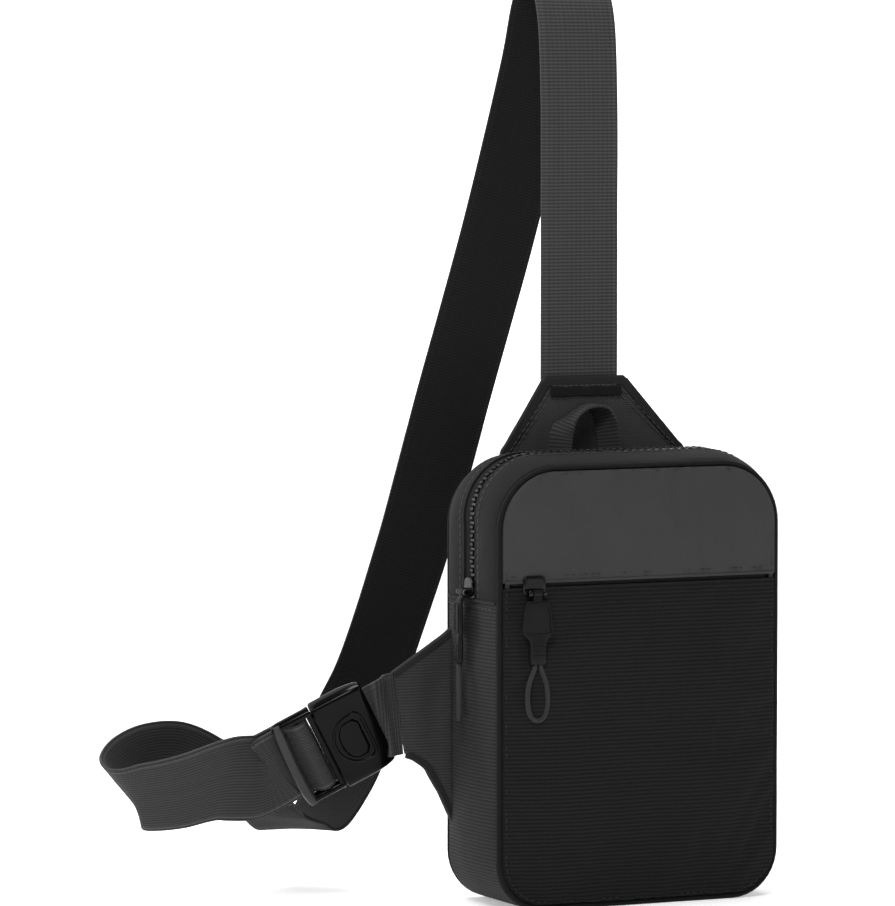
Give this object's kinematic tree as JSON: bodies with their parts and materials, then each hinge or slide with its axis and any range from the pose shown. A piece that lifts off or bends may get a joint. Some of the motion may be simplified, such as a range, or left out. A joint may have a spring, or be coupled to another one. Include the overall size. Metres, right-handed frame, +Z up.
{
  "type": "sling bag",
  "caption": "Small upright sling bag with a zipped main compartment, a zipped front pocket, an arched webbing strap and a push-button buckle.",
  "frame": {"origin": "middle of the flat bottom of the bag body", "axes": "+X to the right seen from the front, +Y from the front pocket to the back, +Z up to the strap's arch"},
  "size_m": [0.3017, 0.1391, 0.4105],
  "materials": {
    "shell_cloth": "fine twill, matte",
    "ribbed_cloth": "fine ribbed weave, matte",
    "lining_cloth": "plain weave",
    "foam": "closed-cell foam",
    "trim_cloth": "piping and binding tape",
    "zipper_tape": "woven zipper tape",
    "zipper_teeth": "moulded teeth",
    "slider_metal": "gloss black enamel",
    "pull_rubber": "moulded grip",
    "pull_cord": "braided cord",
    "webbing": "ribbed nylon webbing",
    "buckle_plastic": "gloss acetal"
  },
  "bodies": {
    "bag": {"back_panel": "shell_cloth", "back_foam": "foam", "rear_gusset": "shell_cloth", "lower_gusset": "ribbed_cloth", "front_gusset_band": "shell_cloth", "main_zipper_tape_front": "zipper_tape", "main_zipper_tape_rear": "zipper_tape", "main_zipper_teeth": "zipper_teeth", "main_zipper_stops": "zipper_teeth", "front_upper_panel": "shell_cloth", "front_lower_panel": "ribbed_cloth", "inner_front_panel": "lining_cloth", "lining": "lining_cloth", "front_piping": "trim_cloth", "back_piping": "trim_cloth", "pocket_zipper_tape": "zipper_tape", "pocket_zipper_teeth": "zipper_teeth", "pocket_zipper_stops": "zipper_teeth", "strap_tab": "shell_cloth", "strap_tab_binding": "trim_cloth", "strap_tab_bar": "trim_cloth", "grab_handle": "webbing", "side_wing": "ribbed_cloth", "side_wing_binding": "trim_cloth", "buckle_webbing": "webbing", "buckle_female": "buckle_plastic", "shoulder_strap": "webbing"},
    "main_slider": {"main_slider": "slider_metal"},
    "main_pull": {"main_pull_grip": "pull_rubber", "main_pull_cord": "pull_cord"},
    "pocket_slider": {"pocket_slider": "slider_metal"},
    "pocket_pull": {"pocket_pull_grip": "pull_rubber", "pocket_pull_cord": "pull_cord"},
    "buckle_male": {"buckle_male": "buckle_plastic", "strap_slack_loop": "webbing", "strap_end_hem": "webbing"},
    "release_button": {"release_button": "buckle_plastic"}
  },
  "joints": [
    {"name": "main_slider_travel", "type": "slide", "parent": "bag", "child": "main_slider", "axis": [0, 0, 1], "range_m": [0, 0.026]},
    {"name": "main_pull_swing", "type": "hinge", "parent": "main_slider", "child": "main_pull", "pos_m": [-0.0742, -0.001, 0.1395], "axis": [0, 1, 0], "range_deg": [0, 150]},
    {"name": "pocket_slider_travel", "type": "slide", "parent": "bag", "child": "pocket_slider", "axis": [1, 0, 0], "range_m": [0, 0.112]},
    {"name": "pocket_pull_swing", "type": "hinge", "parent": "pocket_slider", "child": "pocket_pull", "pos_m": [-0.0525, -0.0312, 0.1406], "axis": [-1, 0, 0], "range_deg": [0, 150]},
    {"name": "buckle_release", "type": "slide", "parent": "bag", "child": "buckle_male", "axis": [-0.8436, 0.2741, -0.4617], "range_m": [0, 0.03]},
    {"name": "release_button_press", "type": "slide", "parent": "bag", "child": "release_button", "axis": [0.0852, 0.9173, 0.3889], "range_m": [0, 0.0018], "stiffness_N_per_m": 800}
  ]
}
